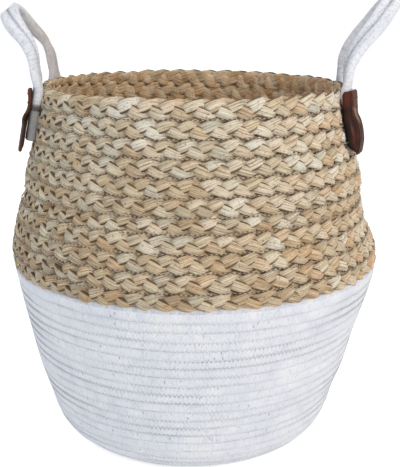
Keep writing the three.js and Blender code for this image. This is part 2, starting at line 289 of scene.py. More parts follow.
def tube_arrays(rings, along_mm, around_mm, start):
    """Points, faces and uvs of a closed tube through rings of shape (count, sides, 3)."""
    count, sides, _ = rings.shape
    ring, side = np.meshgrid(np.arange(count - 1), np.arange(sides), indexing="ij")
    a = start + ring * sides + side
    b = start + ring * sides + (side + 1) % sides
    quads = np.stack([a, b, b + sides, a + sides], -1).reshape(-1, 4)
    u = along_mm * MM
    step = around_mm * MM / sides
    corners = [(ring, side), (ring, side + 1), (ring + 1, side + 1), (ring + 1, side)]
    uv = np.stack([np.stack([u[r], s * step], -1) for r, s in corners], 2).reshape(-1, 2)
    edge = np.arange(sides)
    following = (edge + 1) % sides
    top = start + (count - 1) * sides
    head = np.full(sides, top + sides)
    low = np.stack([head, start + following, start + edge], -1)
    high = np.stack([head + 1, top + edge, top + following], -1)
    cap_uv = np.zeros((6 * sides, 2))
    cap_uv[:, 0] = np.repeat(u[[0, -1]], 3 * sides)
    points = np.concatenate([rings.reshape(-1, 3), rings[[0, -1]].mean(1)])
    return points, quads, np.concatenate([low, high]), uv, cap_uv


def tube_piece(name, tubes, material, soft=True, handle=None):
    """A piece of closed tubes, which sags with the wall if it is soft.

    A tube has rings, the length along it, the way round it, and marks: values by name, for the tube, for each
    ring or for each point.
    """
    blocks = []
    start = 0
    for rings, along, around, _ in tubes:
        blocks.append(tube_arrays(sagged(rings) if soft else rings, along, around, start))
        start += len(blocks[-1][0])
    points, quads, caps, uvs, cap_uvs = (np.concatenate(parts) for parts in zip(*blocks))
    values = {}
    for key in tubes[0][3]:
        flats = [np.broadcast_to(marks[key], rings.shape[:2]).ravel() for rings, _, _, marks in tubes]
        values[key] = np.concatenate([np.append(flat, flat[[0, -1]]) for flat in flats])
    piece = link(name, build_mesh(name, points, [quads, caps], np.concatenate([uvs, cap_uvs]), values))
    dress(piece, material, handle)
    return piece


def thread_tube(points, outward, radius, around, sides=3, marks=None):
    """A thin tube along points, as tube_piece takes it."""
    ahead = unit(np.gradient(points, axis=0))
    side = unit(np.cross(ahead, outward))
    up = np.cross(side, ahead)
    turn = TURN * np.arange(sides)[:, None] / sides
    ring = side[:, None] * np.cos(turn) + up[:, None] * np.sin(turn)
    rings = points[:, None] + np.broadcast_to(radius, len(points))[:, None, None] * ring
    return rings, walked_length(points), around, marks or {}


def dress(piece, material, handle=None):
    """Gives a piece its material and slot, and lets it ride on the basket; a handle's piece only has its
    place baked into its points.
    """
    piece.data.materials.append(material)
    if handle:
        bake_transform(piece)
    else:
        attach(piece, "basket")


# Materials: patterns are scaled in repeats per metre, colours are sRGB from 0 to 255


def linear(*srgb):
    """An sRGB colour in the shader's own scale."""
    return tuple(c / 255 / 12.92 if c <= 10.3 else ((c / 255 + 0.055) / 1.055) ** 2.4 for c in srgb) + (1.0,)


class Nodes:
    """A node tree being built by short calls."""

    def __init__(self, tree):
        self.tree = tree

    def first(self, kind):
        return next(node for node in self.tree.nodes if node.type == kind)

    def node(self, kind, inputs=None, **settings):
        made = self.tree.nodes.new(f"ShaderNode{kind}")
        for key, value in settings.items():
            setattr(made, key, value)
        for key, value in (inputs or {}).items():
            self.put(made.inputs[key], value)
        return made

    def put(self, socket, value):
        if isinstance(value, bpy.types.NodeSocket):
            self.tree.links.new(value, socket)
        else:
            socket.default_value = value

    def math(self, kind, a, b=0.0):
        return self.node("Math", {0: a, 1: b}, operation=kind).outputs[0]

    def times(self, value, *factors):
        for factor in factors:
            value = self.math("MULTIPLY", value, factor)
        return value

    def total(self, *parts):
        """The sum of values, each times its weight."""
        whole, *others = [self.times(value, weight) for value, weight in parts]
        for other in others:
            whole = self.math("ADD", whole, other)
        return whole

    def mix(self, share, a, b, kind="MIX"):
        inputs = {0: share, 6: a, 7: b}
        return self.node("Mix", inputs, data_type="RGBA", blend_type=kind).outputs[2]


class Look(Nodes):
    """A material being built."""

    def __init__(self, name):
        self.material = bpy.data.materials.new(name)
        self.material.use_nodes = True
        super().__init__(self.material.node_tree)
        self.shader = self.first("BSDF_PRINCIPLED")

    def part(self, source, axis):
        """One part of the uvs or of the place in metres."""
        where = self.node("TexCoord").outputs[source]
        return self.node("SeparateXYZ", {"Vector": where}).outputs[axis]

    def scaled(self, *scale):
        """The uvs scaled by two numbers, or the place by one."""
        source, scale = ("UV", (*scale, 1)) if len(scale) == 2 else ("Object", scale * 3)
        where = self.node("TexCoord").outputs[source]
        return self.node("Mapping", {"Vector": where, "Scale": scale}).outputs["Vector"]

    def noise(self, *scale, detail=3.0, rough=0.55):
        inputs = {"Vector": self.scaled(*scale), "Scale": 1.0, "Detail": detail, "Roughness": rough}
        return self.node("TexNoise", inputs).outputs[0]

    def cells(self, *scale):
        inputs = {"Vector": self.scaled(*scale), "Scale": 1.0}
        return self.node("TexVoronoi", inputs).outputs["Distance"]

    def wave(self, vector, scale, distortion, direction="DIAGONAL"):
        inputs = {"Vector": vector, "Scale": scale, "Distortion": distortion}
        made = self.node("TexWave", inputs, wave_type="BANDS", bands_direction=direction)
        return made.outputs[1]

    def value(self, name):
        return self.node("Attribute", attribute_name=name).outputs["Fac"]

    def varied(self, name, noise, amount):
        """A mark's value with a noise about it."""
        return self.math("ADD", self.value(name), self.times(self.math("SUBTRACT", noise, 0.5), amount))

    def span(self, value, low, high, to_low=0.0, to_high=1.0):
        inputs = {"Value": value, "From Min": low, "From Max": high, "To Min": to_low, "To Max": to_high}
        return self.node("MapRange", inputs).outputs["Result"]

    def ramp(self, value, *stops):
        made = self.node("ValToRGB", {"Fac": value})
        items = made.color_ramp.elements
        while len(items) < len(stops):
            items.new(0.5)
        for item, (place, *colour) in zip(items, stops):
            item.position = place
            item.color = linear(*colour)
        return made.outputs["Color"]

    def layers(self, colour, *rows):
        """A colour covered by others. A row has a value, its factor or span to a share, and a colour."""
        for value, share, srgb in rows:
            share = self.span(value, *share) if isinstance(share, tuple) else self.times(value, share)
            colour = self.mix(share, colour, linear(*srgb))
        return colour

    def finish(self, colour, height, depth, strength, roughness, specular, sheen=0.0):
        bump = self.node("Bump", {"Height": height, "Distance": depth, "Strength": strength})
        inputs = self.shader.inputs
        self.put(inputs["Base Color"], colour)
        self.put(inputs["Normal"], bump.outputs["Normal"])
        self.put(inputs["Roughness"], roughness)
        inputs["Sheen Weight"].default_value = sheen
        inputs["Sheen Roughness"].default_value = 0.5
        inputs["Specular IOR Level"].default_value = specular
        return self.material


def painted_seam_shade(look, colour):
    """Painted shade: faint dark lines in the grooves where the rope's rows meet, made fainter at both sides
    and low down to follow how the light falls there.
    """
    across = look.times(look.part("UV", "Y"), 2 / MM / (math.pi * ROPE_THICKNESS))
    shifted = look.math("FRACT", look.math("ADD", across, 0.5))
    to_seam = look.math("ABSOLUTE", look.math("SUBTRACT", shifted, 0.5))
    line = look.times(
        look.span(to_seam, 0.352, 0.402, 1.0, 0.0),
        look.span(look.noise(260, 40, detail=2), 0.36, 0.6, 0.25, 1.0),
        look.span(look.noise(9, 30, detail=2), 0.35, 0.62, 0.45, 0.85),
        look.span(look.part("Object", "X"), -0.165, -0.1, 0.2, 1.0),
        look.span(look.part("Object", "X"), 0.05, 0.15, 1.0, 0.35),
        look.span(look.part("Object", "Z"), 0.02, 0.12, 0.65, 1.0),
    )
    # painted shade, bluish grey, along the seams between the rows
    return look.layers(colour, (line, 0.45, (112, 113, 124)))


def strap_marks(look, colour):
    """A cord made paler as painted light, painted shade warmed by the straw on one far leg, painted shade in
    the groove and along thin rungs, specks all over and darker ones in the groove, painted shade at the ends
    under the tabs, and a dark brown band across each strand.
    """
    # painted light: the handle cord is made paler than the same cotton in the rope rows
    colour = look.mix(0.28, colour, linear(252, 252, 254))
    # painted shade on the far leg, warmed as if lit from the straw, with a mottle in it
    shade_mottle = look.noise(60, 190, detail=4, rough=0.6)
    shaded_colour = look.mix(look.span(shade_mottle, 0.5, 0.62, 0.0, 0.7), linear(206, 194, 182), linear(164, 144, 126))
    colour = look.mix(look.times(look.value("far_leg_shade"), 0.75), colour, shaded_colour)
    groove = look.value("groove")
    specks = look.noise(330, 420, rough=0.6)
    return look.layers(
        colour,
        # painted shade in the groove between the strands: bluish blotches, and darker specks below
        (look.span(look.noise(60, 160), 0.4, 0.56, 0.05, 0.4), groove, (166, 174, 196)),
        (specks, (0.52, 0.62, 0.0, 0.42), (178, 184, 205)),
        (look.span(specks, 0.42, 0.52, 0.6, 0.0), groove, (138, 140, 150)),
        # painted shade of thin wrinkles across the cord
        (look.noise(620, 45, detail=2), (0.34, 0.46, 0.4, 0.0), (184, 188, 204)),
        # painted shade on the strand ends under the tabs
        (look.value("under_tab_shade"), 0.75, (140, 136, 132)),
        # a dark brown band across each strand near the tab's top
        (look.value("dark_band"), 0.85, (74, 54, 42)),
    )


def cotton_look(name, marked):
    """White cotton cord: a fine slanted lay with painted shade between the yarns, needle pits with painted
    shade in them, and an uneven tone. marked adds its own marks.
    """
    look = Look(name)
    lay = look.wave(look.scaled(1000, 1400), 0.5, 2.2)
    fuzz = look.noise(1300, 1300, detail=4, rough=0.65)
    pit = look.span(look.cells(170, 330), 0.05, 0.13, 1.0, 0.0)
    tone = look.span(look.mix(0.45, look.noise(60, 160), look.noise(24, detail=2)), 0.34, 0.66)
    colour = look.layers(
        look.ramp(tone, (0.0, 228, 230, 237), (0.6, 241, 242, 246), (1.0, 249, 248, 247)),
        # painted shade between the yarns of the lay
        (lay, (0.0, 0.5, 0.13, 0.0), (168, 173, 188)),
        (look.noise(700, 760, detail=2, rough=0.5), (0.3, 0.48, 0.4, 0.0), (190, 194, 206)),
        (fuzz, (0.36, 0.5, 0.3, 0.0), (196, 200, 212)),
        # painted shade in the needle pits
        (pit, 0.55, (128, 130, 142)),
    )
    colour = marked(look, colour)
    height = look.total((lay, 0.4), (fuzz, 0.9), (pit, -0.9))
    return look.finish(colour, height, depth=0.0005, strength=0.7, roughness=0.9, specular=0.2, sheen=0.1)


def straw_look(name):
    """Dry straw: fibres along each leaf, each with its own tone and hue, some light streaks partly a painted
    highlight, and painted shade along leaf edges, deep in the plait and on its inner side.
    """
    look = Look(name)
    broad = look.noise(26, 420)
    fibres = look.noise(46, 1350, rough=0.6)
    fine = look.noise(110, 3600, rough=0.6)
    hue = look.varied("hue", look.noise(70), 0.8)
    leaf_edge_shade = look.value("leaf_edge_shade")
    colour = look.ramp(
        look.varied("tone", broad, 0.9),
        (0.0, 162, 134, 100), (0.28, 188, 164, 130), (0.55, 204, 184, 152), (0.8, 219, 206, 181),
        (1.0, 230, 222, 204),
    )
    colour = look.layers(
        colour,
        (hue, (0.1, 0.45, 0.55, 0.0), (182, 182, 168)),
        (hue, (0.6, 1.0, 0.0, 0.58), (214, 168, 122)),
        (fibres, (0.4, 0.46, 0.66, 0.0), (138, 106, 74)),
        # light streaks along the fibres: partly the straw's grain, partly painted highlight
        (fibres, (0.55, 0.61, 0.0, 0.55), (238, 228, 206)),
        (look.noise(520, rough=0.6), (0.6, 0.68, 0.0, 0.65), (104, 76, 52)),
        # painted shade along the leaves' edges, where they cross and overlap
        (leaf_edge_shade, (0.73, 0.84, 0.0, 0.7), (116, 84, 52)),
        (leaf_edge_shade, (0.83, 0.91, 0.0, 0.7), (66, 45, 28)),
        # painted shade: browner where the straw lies near the plait's middle, deep between the leaves
        (look.value("depth"), (0.0, 0.25, 0.3, 0.0), (110, 78, 48)),
    )
    # painted shade: browner on the wall's inner side
    colour = look.mix(look.value("inner"), colour, (1.0, 0.85, 0.7, 1), "MULTIPLY")
    height = look.total((fibres, 0.8), (broad, 0.6), (fine, 0.4))
    gloss = look.span(fibres, 0.3, 0.7, 0.8, 0.6)
    return look.finish(colour, height, depth=0.0008, strength=0.8, roughness=gloss, specular=0.3)


def leather_look(name):
    """Dark leather with fine grain, long creases with painted shade in them, worn, lighter ridges, a painted
    glare and a painted shadow along one edge.
    """
    look = Look(name)
    grain = look.cells(1100)
    clouds = look.noise(90, detail=4)
    creases = look.noise(16, 330)
    colour = look.layers(
        look.ramp(look.span(clouds, 0.3, 0.7), (0.0, 36, 18, 11), (0.5, 56, 28, 18), (1.0, 78, 39, 26)),
        (look.value("cap"), 0.5, (96, 40, 28)),
        (creases, (0.57, 0.68, 0.0, 0.5), (132, 90, 60)),
        # painted glare: a tan highlight on one facet
        (look.value("glare"), 0.8, (146, 118, 84)),
        # painted shade in the creases
        (creases, (0.34, 0.46, 0.8, 0.0), (22, 11, 8)),
        # painted shadow: near black along the edge that stands off the wall
        (look.value("edge_shadow"), 1.0, (6, 4, 3)),
    )
    height = look.total((grain, 0.25), (creases, 1.6))
    gloss = look.span(clouds, 0.3, 0.7, 0.45, 0.62)
    return look.finish(colour, height, depth=0.0011, strength=0.8, roughness=gloss, specular=0.15)


def thread_look(name, dark, light, dash=0.0):
    """Twisted sewing thread, or with a dash length in metres one that shows as light and dark dashes, its
    dark turned paler towards the right as painted light.
    """
    look = Look(name)
    dark, light = linear(*dark), linear(*light)
    if dash:
        twist = look.math("GREATER_THAN", look.wave(look.scaled(1 / dash, 1), 0.31, 0.6, "X"), 0.62)
        # painted light: the dark dashes turn paler towards the right
        dark = look.mix(look.span(look.part("Object", "X"), 0.07, 0.14, 0.0, 0.6), dark, light)
    else:
        twist = look.wave(look.scaled(1600, 1600), 0.6, 0.5)
    colour = look.mix(look.span(twist, 0.0, 1.0), dark, light)
    return look.finish(colour, twist, depth=0.0001, strength=0.6, roughness=0.8, specular=0.3, sheen=0.1)


ROPE = cotton_look("cotton_rope_rows", painted_seam_shade)
COTTON = cotton_look("cotton", strap_marks)
STRAW = straw_look("straw")
LEATHER = leather_look("leather")
WHITE_THREAD = thread_look("white_thread", (196, 198, 206), (240, 240, 243))
PALE_THREAD = thread_look("pale_thread", (186, 172, 148), (226, 216, 198))
DASHED_THREAD = thread_look("dashed_thread", (88, 73, 62), (200, 186, 162), 0.0038)
BROWN_THREAD = thread_look("brown_thread", (46, 30, 22), (92, 62, 46))

# The rope: one length from the middle of the base to the belly

ROPE_SIDES = 20
ROPE_POWER = 6.0
START_STEPS = 12
BASE_STEPS = 84
WALL_STEPS = 132
ROW_OVERLAP = 4.6

# Unevenness, here and below: the step from one random value to the next, and its size
ROPE_SWELLS = ((38, 0.02), (9, 0.012))
ROPE_WAVER = (60, 0.12)


def rope_route():
    """Middle points, the directions along the wall and out of it, and the half width of the rope."""
    facing = np.array([math.cos(SEAM_ANGLE), math.sin(SEAM_ANGLE), 0])
    aside = np.array([-facing[1], facing[0], 0])
    start = [(aside, -facing), (aside / 2, -facing)]
    for bent in np.linspace(0, math.pi, START_STEPS, endpoint=False):
        outward = -math.cos(bent) * facing - math.sin(bent) * aside
        start.append((facing + outward, outward))
    turns = np.concatenate([
        np.zeros(len(start)), 1 + np.arange((BASE_TURNS - 1) * BASE_STEPS) / BASE_STEPS,
        BASE_TURNS + np.arange(ROPE_TURNS * WALL_STEPS + 1) / WALL_STEPS,
    ])
    on_base = turns < BASE_TURNS
    base = (BASE_PITCH * turns, BASE_MIDDLE, 1, 0)
    wall = wall_place(np.maximum(0, turns - BASE_TURNS) * ROPE_PITCH)
    middle, along, out = wall_frame(turns, *(np.where(on_base, *pair) for pair in zip(base, wall)))
    places, along[: len(start)] = np.array(start).transpose(1, 0, 2)
    middle[: len(start)] = places * BASE_PITCH / 2 + UP * BASE_MIDDLE
    return middle, along, out, (np.where(on_base, BASE_PITCH, ROPE_PITCH) + ROW_OVERLAP) / 2


def build_rope():
    rng = np.random.default_rng(11)
    middle, along, out, half = rope_route()
    length = walked_length(middle)
    wide, thick = rounded(ROPE_SIDES, ROPE_POWER)
    swell = 1 + sum(drift(rng, length, *swells) for swells in ROPE_SWELLS)
    heights = (ROPE_THICKNESS / 2) * thick * swell[:, None] + drift(rng, length, *ROPE_WAVER)[:, None]
    rings = ring_points(middle, along, out, half[:, None] * wide, heights)
    rings[..., 2] = np.maximum(rings[..., 2], 0)
    tube = (rings, length, math.pi * ROPE_THICKNESS, {})
    piece = tube_piece("cotton_rope_coil", [tube], ROPE)
    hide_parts("base_rope_coil", "wall_rope_coil")


build_rope()

# The plait: three strands wound in eleven rows

PLAIT_PERIOD = 52.0
PLAIT_SIDES = 18
PLAIT_STEPS = 24
PLAIT_START_TURNS = 0.25
PLAIT_END_TAPER = 0.7
COURSE_STEPS = 40000
STRAND_POWER = 2.5
STRAND_WIDE = 12.0
STRAND_THICK = 3.9
STRAND_AROUND = 2 * (STRAND_WIDE + STRAND_THICK) * 0.8
STRAND_SWAY = 5.0
STRAND_DEPTH = 2.1
STRAND_TILT = 0.1
FOLD_SHARPNESS = 0.965
CROSSING_SHARPNESS = 1.3
CROSSING_LAG = 0.2
LEAF_EASE = 9

SHARED_PACE = (90, 0.3)
OWN_PACE = (50, 0.1)
SWAY_DRIFT = (40, 0.05)
WIDTH_DRIFT = (12, 0.02)
THICKNESS_DRIFT = (17, 0.04)
LEAF_RAISE = 0.2
LEAF_TILT = 0.1
LEAF_WIDTH = 0.06
LEAF_RIDGES = 0.045
RIDGES_ACROSS = 0.35


def plait_width(turn):
    """Width of the plait, which grows from the rope's and tapers at the end."""
    grown = reached(turn, 0, PLAIT_START_TURNS)
    ended = reached(turn, PLAIT_ROWS, PLAIT_TURNS - PLAIT_ROWS)
    return (ROPE_PITCH + (PLAIT_PITCH - ROPE_PITCH) * grown) * (1 - PLAIT_END_TAPER * ended)


def plait_edge(turn):
    """The way up to a row's lower edge: the first lies on the rope, each other on the row below."""
    turn = np.asarray(turn, float)
    whole = np.floor(turn).astype(int)
    first = turn - whole
    edge = ROPE_WALL_LENGTH - ROPE_PITCH / 2 + ROPE_PITCH * first
    for row in range(int(whole.max()) + 1):
        edge = edge + np.where(whole > row, plait_width(first + row), 0)
    return edge


def plait_course():
    """Fine steps along the plait: turns, length walked, and the way up the wall to its middle."""
    turns = np.linspace(0, PLAIT_TURNS, COURSE_STEPS)
    middle = plait_edge(turns) + plait_width(turns) / 2
    radius = wall_place(middle)[0]
    walked = np.concatenate([[0], np.cumsum(np.diff(turns) * TURN * (radius[1:] + radius[:-1]) / 2)])
    return turns, walked, middle


COURSE_TURNS, COURSE_WALKED, COURSE_MIDDLE = plait_course()
PLAIT_WALK = COURSE_WALKED[-1]


def per_leaf(rng, leaf, size):
    """A random value for each leaf of a strand, eased over from one to the next."""
    return smoothed(rng.normal(0, size, leaf.max() + 1)[leaf], np.hanning(LEAF_EASE))


def strand_sides(centre, along, out, tilt):
    """The directions across a strand and through it, square to its course and tilted about it."""
    tangent = unit(np.gradient(centre, axis=0))
    across = unit(along - tangent * (along * tangent).sum(1)[:, None])
    through = np.cross(tangent, across)
    through *= np.sign((through * out).sum(1))[:, None]
    return across * np.cos(tilt) + through * np.sin(tilt), through * np.cos(tilt) - across * np.sin(tilt)


def straw_marks(rng, leaf, middle, level, wide, crest):
    """What the straw's look goes by: each leaf's tone and hue, with painted light that makes them lighter to
    the top and the right and warmer to the right, its edge for painted shade, and how deep it lies for
    painted shade in recesses and on the inner side.
    """
    leaves = leaf.max() + 1
    tone = np.clip(rng.normal(0.5, 0.18, leaves), 0.05, 0.86)[leaf]
    # painted light: lighter towards the top and the right, warmer and less grey to the right
    tone = tone + (middle[:, 2] - 222) / 400 + middle[:, 0] / 900
    hue = np.clip(rng.normal(0.5, 0.17, leaves), 0.0, 1.0)[leaf] + middle[:, 0] / 700
    return {
        "tone": tone[:, None], "hue": hue[:, None], "depth": np.abs(level) / (PLAIT_THICKNESS / 2),
        "leaf_edge_shade": np.abs(wide) * np.clip(0.8 + crest, 0.5, 1)[:, None], "inner": np.clip(-level / 2, 0, 1),
    }


def build_plait_strand(index):
    """A band of leaves that sways from edge to edge, folds there, and passes over and under the others."""
    rng = np.random.default_rng(100 + index)
    shared = np.random.default_rng(7)
    walked = np.linspace(0, PLAIT_WALK, int(PLAIT_WALK / PLAIT_PERIOD * PLAIT_STEPS))
    turns = np.interp(walked, COURSE_WALKED, COURSE_TURNS)
    middle, along, out = wall_frame(turns, *wall_place(np.interp(walked, COURSE_WALKED, COURSE_MIDDLE)))
    scale = plait_width(turns) / PLAIT_PITCH
    pace = drift(shared, walked, *SHARED_PACE) + drift(rng, walked, *OWN_PACE)
    phase = TURN * walked / PLAIT_PERIOD + TURN * index / 3 + pace
    leaf = np.floor((phase + math.pi / 4) / math.pi).astype(int)
    leaf = leaf - leaf.min()
    crest = np.tanh(CROSSING_SHARPNESS * np.sin(phase * 2 - CROSSING_LAG)) / math.tanh(CROSSING_SHARPNESS)
    folded = np.arcsin(FOLD_SHARPNESS * np.sin(phase)) / math.asin(FOLD_SHARPNESS)
    sway = STRAND_SWAY * scale * (1 + drift(rng, walked, *SWAY_DRIFT))
    raised = STRAND_DEPTH * crest + per_leaf(rng, leaf, LEAF_RAISE)
    centre = middle + along * (sway * folded)[:, None] + out * raised[:, None]
    tilt = per_leaf(rng, leaf, LEAF_TILT) - STRAND_TILT * np.sin(phase)
    across, through = strand_sides(centre, along, out, tilt[:, None])
    plump = (1 - 0.1 * crest) * (1 - 0.21 * np.abs(np.sin(phase)) ** 5) * (1 - 0.1 * np.cos(phase) ** 4)
    plump = plump * (1 + per_leaf(rng, leaf, LEAF_WIDTH)) * (1 + drift(rng, walked, *WIDTH_DRIFT))
    wide, thick = rounded(PLAIT_SIDES, STRAND_POWER)
    ridges = rng.normal(0, LEAF_RIDGES, (leaf.max() + 1, PLAIT_SIDES))[leaf] * np.abs(crest)[:, None]
    half_wide = STRAND_WIDE / 2 * scale * plump
    half_thick = STRAND_THICK / 2 * (1 + scale) / 2 * (1 + drift(rng, walked, *THICKNESS_DRIFT))
    x = half_wide[:, None] * wide * (1 + RIDGES_ACROSS * ridges)
    y = half_thick[:, None] * thick * (1 + ridges)
    rings = ring_points(centre, across, through, x, y)
    marks = straw_marks(rng, leaf, middle, raised[:, None] + y, wide, crest)
    tube = (rings, walked, STRAND_AROUND, marks)
    piece = tube_piece(f"straw_plait_strand_{index + 1}", [tube], STRAW)
    if index == 0:
        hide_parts("straw_plait_coil")


for strand_index in range(3):
    build_plait_strand(strand_index)

# Threads in the seams, each with its radius and the way round it that its uvs show

ROPE_THREAD = (0.24, 1.5)
PLAIT_THREAD = (0.17, 1.1)
DASH_THREAD = (0.36, 2.2)
STRAP_THREAD = (0.27, 1.7)
TAB_THREAD = (0.35, 2.2)

ROPE_STITCH = 1.8
ROPE_STITCH_REACH = 2.1
ROPE_STITCH_OUT = ROPE_THICKNESS / 2 * 0.975
PLAIT_STITCH = 3.3
PLAIT_STITCH_REACH = 2.3
PLAIT_STITCH_OUT = 3.6
DASH_STEP = 1.5
DASH_OUT = 4.0

FIBRE_RADIUS = 0.24
FIBRE_STEPS = 7
FIBRE_OUT = 4.2
FIBRE_TAPER = 0.75
FIBRE_CURL = 0.25


def seam_turns(first, last, step, way_up):
    """Turns that lie a step apart along a seam. way_up gives the way up the wall after a turn."""
    turns = []
    turn = first
    while turn < last:
        turns.append(turn)
        turn += step / (TURN * float(wall_place(way_up(turn))[0]))
    return np.array(turns)


def build_rope_thread():
    """Zigzag stitches over the seams of the rope wall."""
    turns = seam_turns(1.02, ROPE_TURNS, ROPE_STITCH, lambda turn: ROPE_PITCH * turn)
    way_up = ROPE_PITCH * (turns - 0.5) + zigzag(len(turns), ROPE_STITCH_REACH)
    middle, _, out = wall_frame(turns, *wall_place(way_up))
    tube = thread_tube(middle + out * ROPE_STITCH_OUT, out, *ROPE_THREAD)
    tube_piece("rope_seam_thread", [tube], WHITE_THREAD)


def plait_seam(turns, aside, out_mm):
    """Points along the plait's seams, moved along the wall and out of it, and the way out."""
    middle, _, out = wall_frame(turns, *wall_place(plait_edge(turns) + aside))
    return middle + out * np.reshape(out_mm, (-1, 1)), out


def build_plait_threads():
    """Zigzag stitches over the seams of the plait, and a darker thread along them that shows as dashes."""
    rng = np.random.default_rng(5)
    turns = seam_turns(1.0, PLAIT_ROWS, PLAIT_STITCH, plait_edge)
    count = len(turns)
    aside = zigzag(count, PLAIT_STITCH_REACH) * (1 + rng.normal(0, 0.25, count))
    sunk = PLAIT_STITCH_OUT + drift(rng, turns, 0.02, 0.5) + rng.normal(0, 0.15, count)
    tube = thread_tube(*plait_seam(turns, aside, sunk), *PLAIT_THREAD)
    tube_piece("plait_seam_thread", [tube], PALE_THREAD)
    turns = seam_turns(1.0, PLAIT_ROWS, DASH_STEP, plait_edge)
    aside = drift(rng, turns, 0.011, 0.35)
    sunk = DASH_OUT + drift(rng, turns, 0.009, 0.4)
    tube = thread_tube(*plait_seam(turns, aside, sunk), *DASH_THREAD)
    tube_piece("plait_seam_dashes", [tube], DASHED_THREAD)


def build_seam_straw():
    """A bundle of straw in the seams between the rows, behind the stitches."""
    rng = np.random.default_rng(61)
    turns = seam_turns(1.0, PLAIT_ROWS, 4.0, plait_edge)
    points, out = plait_seam(turns, drift(rng, turns, 0.02, 0.2), 0)
    radius = 1.6 * (1 + drift(rng, turns, 0.01, 0.08))
    # the seam bundle takes the full painted shade of the recesses and a little painted shade of the inner
    # side
    marks = {"tone": 0.3, "hue": 0.5, "depth": 0, "leaf_edge_shade": 0, "inner": 0.2}
    tube = thread_tube(points, out, radius, around=10.0, sides=8, marks=marks)
    tube_piece("straw_seam_filling", [tube], STRAW)


def fibre_places(rng):
    """Each fibre's turn, way up from the seam and length: all over, at the rim, the belly and the right."""
    right = np.random.default_rng(24)
    last = PLAIT_TURNS - 0.3
    places = [(rng.uniform(1, last), rng.uniform(-4, 4), rng.uniform(3, 7)) for _ in range(150)]
    places += [(PLAIT_ROWS - rng.uniform(0, 1), PLAIT_PITCH * 0.95, rng.uniform(3, 8)) for _ in range(40)]
    places += [(1.72 + 0.011 * k, 2.0 * k - 3, 9.0 + k) for k in range(4)]
    for _ in range(260):
        turn = right.integers(1, PLAIT_ROWS) + right.uniform(0.57, 0.82)
        places.append((turn, right.normal(0, 1.2), right.uniform(3, 7)))
    return places


def build_stray_fibres():
    """Loose ends of straw that stand out of the seams and the rim."""
    rng = np.random.default_rng(23)
    t = np.linspace(0, 1, FIBRE_STEPS)[:, None]
    radius = FIBRE_RADIUS * (1 - FIBRE_TAPER * t[:, 0])
    tubes = []
    for turn, aside, length in fibre_places(rng):
        start, out = plait_seam(np.array([turn]), aside, FIBRE_OUT)
        angle = SEAM_ANGLE + TURN * turn
        onward = np.array([-math.sin(angle), math.cos(angle), 0])
        course = out[0] * rng.uniform(0.25, 0.8) + onward * rng.normal(0, 0.9) + UP * rng.normal(0, 0.6)
        curl = unit(rng.normal(0, 1, 3))
        points = start + unit(course) * length * t + curl * length * FIBRE_CURL * t * t
        tone = rng.uniform(0.3, 0.9)
        marks = {"tone": tone, "hue": tone, "depth": 1.0}
        tubes.append(thread_tube(points, out, radius, around=1.4, marks=marks))
    tube_piece("straw_stray_fibres", tubes, STRAW)


build_rope_thread()
build_plait_threads()
build_seam_straw()
build_stray_fibres()

# Handles

STRAND_RADIUS = STRAND_THICKNESS / 2
STRAND_OFFSET = (STRAND_THICKNESS + STRAND_GAP) / 2
ROPE_LIFT = FACE_GAP + STRAND_RADIUS
LEG_RADIUS = WALL_POINTS[-1, 0] + PLAIT_THICKNESS / 2 + HANDLE_WALL_CLEARANCE + STRAND_RADIUS
HINGE_RADIUS = math.sqrt(LEG_RADIUS**2 - LEG_HALF_SPAN**2)
HINGE_HEIGHT = RIM_HEIGHT + HANDLE_RIM_CLEARANCE + STRAND_RADIUS
TAB_TOP = RIM_HEIGHT - TAB_DROP
STEP_ANGLE = TURN / STEPS_PER_TURN
LEG_ANGLE = math.atan2(LEG_HALF_SPAN, HINGE_RADIUS)
# The last value of each handle sets how much painted shade lies on its far leg
HANDLES = {
    "left": dict(
        sign=-1, seed=64, rise=68.0, foot=12.0, bend=27.0, draw=12.0, lean=math.radians(47), turn=0.0,
        power=2.1, twist_start=14.0, twist_ease=1.0, bow=3.4, bow_start=0.0, bow_power=1, far_leg_shade=1.0,
    ),
    "right": dict(
        sign=1, seed=71, rise=80.0, foot=4.0, bend=45.0, draw=7.0, lean=math.radians(44.5),
        turn=math.radians(-5.4), power=1.8, twist_start=4.0, twist_ease=2.0, bow=4.0, bow_start=10.0,
        bow_power=2, far_leg_shade=0.0,
    ),
}
MOST_TWIST = math.radians(50)
ENDS = {"front": -1, "back": 1}
STRANDS = {"outer": 1, "inner": -1}
ARCH_STEPS = 60
PATH_STEP = 1.6
FOOT_SHARES = (1, 0.75, 0.5, 0.25, 0)
FACING_ROUNDS = 10

STRAND_SIDES = 20
STRAND_SQUARENESS = 3.2
STRAND_SWELL = (14, 0.015)
GROOVE_WIDENING = 1.28
# length of the painted shade at each strand end
UNDER_TAB_SHADE_LENGTH = 30.0
# place and half width of the dark brown band, from the strand's end
DARK_BAND_PLACE = 29.5
DARK_BAND_HALF = 3.4
STRAP_STITCH = 1.7
STRAP_STITCH_REACH = 0.3
STRAP_STITCH_OUT = STRAND_RADIUS * 0.86


def turned(points, angle):
    """Points turned about the basket's axis."""
    c, s = math.cos(angle), math.sin(angle)
    return points @ np.array([[c, s, 0], [-s, c, 0], [0, 0, 1]])


def wall_face(height, direction):
    """Distance from the axis to the wall's outer face where the strands of a leg lie on it."""
    upper = WALL_LENGTHS > ROPE_WALL_LENGTH
    length = np.interp(height, WALL_POINTS[upper, 1], WALL_LENGTHS[upper])
    corner = float(wall_place(length)[0]) + PLAIT_THICKNESS / 2
    steps = (direction - SEAM_ANGLE) / STEP_ANGLE
    to_corner = abs(steps - round(steps)) * STEP_ANGLE
    aside = max(0, corner * math.sin(to_corner) - STRAND_OFFSET)
    return corner * math.cos(to_corner) - aside * math.tan(STEP_ANGLE / 2 - to_corner)


